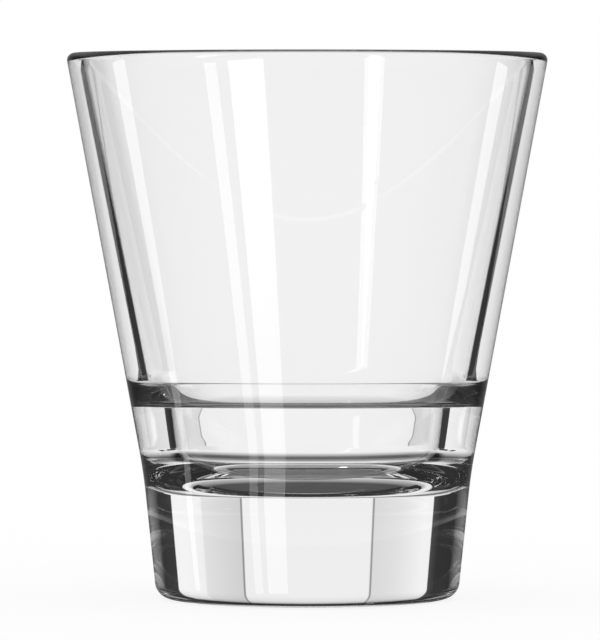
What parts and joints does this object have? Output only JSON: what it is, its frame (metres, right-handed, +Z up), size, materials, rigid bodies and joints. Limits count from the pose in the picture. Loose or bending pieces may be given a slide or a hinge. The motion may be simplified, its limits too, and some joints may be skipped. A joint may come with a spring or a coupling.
{
  "type": "rocks glass",
  "caption": "Clear pressed rocks glass: flared round bowl, inner stacking ledge, narrower pocket and thick solid base; holds a short drink and stacks.",
  "frame": {"origin": "centre of the standing ring, on the surface that the glass stands on", "axes": "+Z up along the glass's axis, towards the rim; the glass is round, so X and Y are alike"},
  "size_m": [0.086, 0.086, 0.0978],
  "materials": {
    "clear_glass": "fire-polished pressed soda-lime glass, water clear"
  },
  "bodies": {
    "root": {"tumbler": "clear_glass"}
  },
  "joints": []
}
